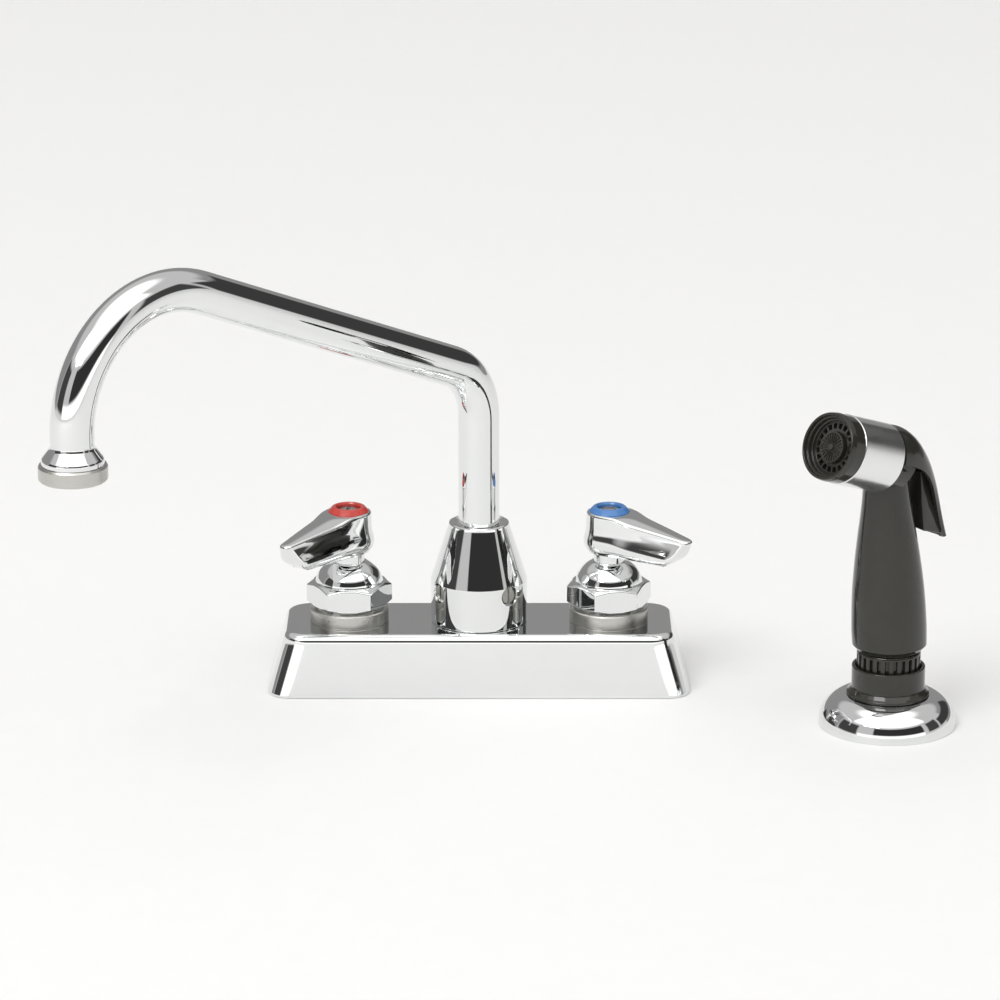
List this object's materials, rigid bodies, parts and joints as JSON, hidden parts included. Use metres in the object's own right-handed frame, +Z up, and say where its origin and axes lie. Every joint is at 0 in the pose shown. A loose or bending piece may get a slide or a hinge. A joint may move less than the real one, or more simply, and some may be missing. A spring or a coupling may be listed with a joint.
{
  "type": "pre rinse faucet",
  "caption": "Deck-mounted centreset kitchen faucet with a swinging high spout, lever handles and a separate hand spray in its own deck holder.",
  "frame": {"origin": "on the deck plane, under the axis that the spout swings about", "axes": "+Z up, +X along the base from the hot valve to the cold valve and towards the spray, +Y away from the user"},
  "size_m": [0.3388, 0.1817, 0.2434],
  "materials": {
    "polished_chrome": "polished chrome plate on brass",
    "satin_nickel": "satin turned nickel",
    "brass": "machined",
    "steel": "bright stainless",
    "locknut_zinc": "zinc plated",
    "seal_rubber": "matte",
    "ceramic": "lapped ceramic",
    "white_acetal": "moulded",
    "red_index": "moulded, glossy",
    "blue_index": "moulded, glossy",
    "black_plastic": "moulded, semi-gloss",
    "gray_plastic": "moulded"
  },
  "bodies": {
    "deck_set": {"faucet_body": "polished_chrome", "base_gasket": "seal_rubber", "hot_shank": "brass", "cold_shank": "brass", "shank_washers": "steel", "shank_locknuts": "locknut_zinc", "spray_outlet_nipple": "brass", "hot_spacer_ring": "satin_nickel", "cold_spacer_ring": "satin_nickel", "hot_bonnet": "polished_chrome", "cold_bonnet": "polished_chrome", "hot_seat_seal": "seal_rubber", "cold_seat_seal": "seal_rubber", "hot_fixed_disc": "ceramic", "cold_fixed_disc": "ceramic", "spout_hub": "polished_chrome", "hub_screws": "satin_nickel", "swivel_bushing": "white_acetal", "diverter_guide": "white_acetal", "diverter_spring": "steel", "holder_flange": "polished_chrome", "holder_gasket": "seal_rubber", "holder_cup": "black_plastic", "holder_locknut": "black_plastic"},
    "spout": {"spout_tube": "polished_chrome", "swivel_sleeve": "brass", "swivel_rings": "seal_rubber", "outlet_ring": "satin_nickel", "aerator_body": "gray_plastic", "aerator_screen": "steel"},
    "hot_handle": {"hot_lever": "polished_chrome", "hot_index_ring": "red_index", "hot_lever_screw": "steel", "hot_stem": "polished_chrome", "hot_stem_rings": "seal_rubber", "hot_turning_disc": "ceramic"},
    "cold_handle": {"cold_lever": "polished_chrome", "cold_index_ring": "blue_index", "cold_lever_screw": "steel", "cold_stem": "polished_chrome", "cold_stem_rings": "seal_rubber", "cold_turning_disc": "ceramic"},
    "diverter": {"diverter_plunger": "white_acetal"},
    "spray_inlet": {"spray_coupling": "black_plastic", "spray_inlet_nipple": "brass", "spray_inlet_ring": "seal_rubber"},
    "spray_head": {"spray_grip": "black_plastic", "spray_barrel": "black_plastic", "spray_band": "polished_chrome", "nose_ring": "black_plastic", "spray_face": "black_plastic", "face_boss": "black_plastic", "spray_valve_seat": "seal_rubber", "spray_valve_spring": "steel", "trigger_pin": "steel"},
    "trigger": {"trigger": "black_plastic"},
    "spray_valve": {"spray_valve_stem": "brass"}
  },
  "joints": [
    {"name": "spout_swing", "type": "hinge", "parent": "deck_set", "child": "spout", "pos_m": [0, 0, 0.1], "axis": [0, 0, 1], "continuous": true},
    {"name": "hot_handle_turn", "type": "hinge", "parent": "deck_set", "child": "hot_handle", "pos_m": [-0.0508, 0, 0.06], "axis": [0, 0, 1], "range_deg": [0, 90]},
    {"name": "cold_handle_turn", "type": "hinge", "parent": "deck_set", "child": "cold_handle", "pos_m": [0.0508, 0, 0.06], "axis": [0, 0, 1], "range_deg": [-90, 0]},
    {"name": "diverter_slide", "type": "slide", "parent": "deck_set", "child": "diverter", "axis": [0, 0, -1], "range_m": [0, 0.002], "stiffness_N_per_m": 150, "springref_m": -0.002, "deforming": ["diverter_spring"]},
    {"name": "spray_lift", "type": "slide", "parent": "deck_set", "child": "spray_inlet", "axis": [0, 0, 1], "range_m": [0, 0.25]},
    {"name": "spray_swivel", "type": "hinge", "parent": "spray_inlet", "child": "spray_head", "pos_m": [0.1564, -0.0524, 0.04], "axis": [0, 0, 1], "continuous": true},
    {"name": "trigger_squeeze", "type": "hinge", "parent": "spray_head", "child": "trigger", "pos_m": [0.15842, -0.05071, 0.11056], "axis": [-0.6428, 0.766, 0], "range_deg": [0, 8], "stiffness_Nm_per_rad": 0.8, "springref_deg": -8.59, "deforming": ["spray_valve_spring"]},
    {"name": "valve_slide", "type": "slide", "parent": "spray_head", "child": "spray_valve", "axis": [-0.7226, -0.6063, 0.3322], "range_m": [0, 0.00111]}
  ],
  "couplings": [
    {"joint": "valve_slide", "follows": "trigger_squeeze", "m_per_rad": 0.0065}
  ]
}
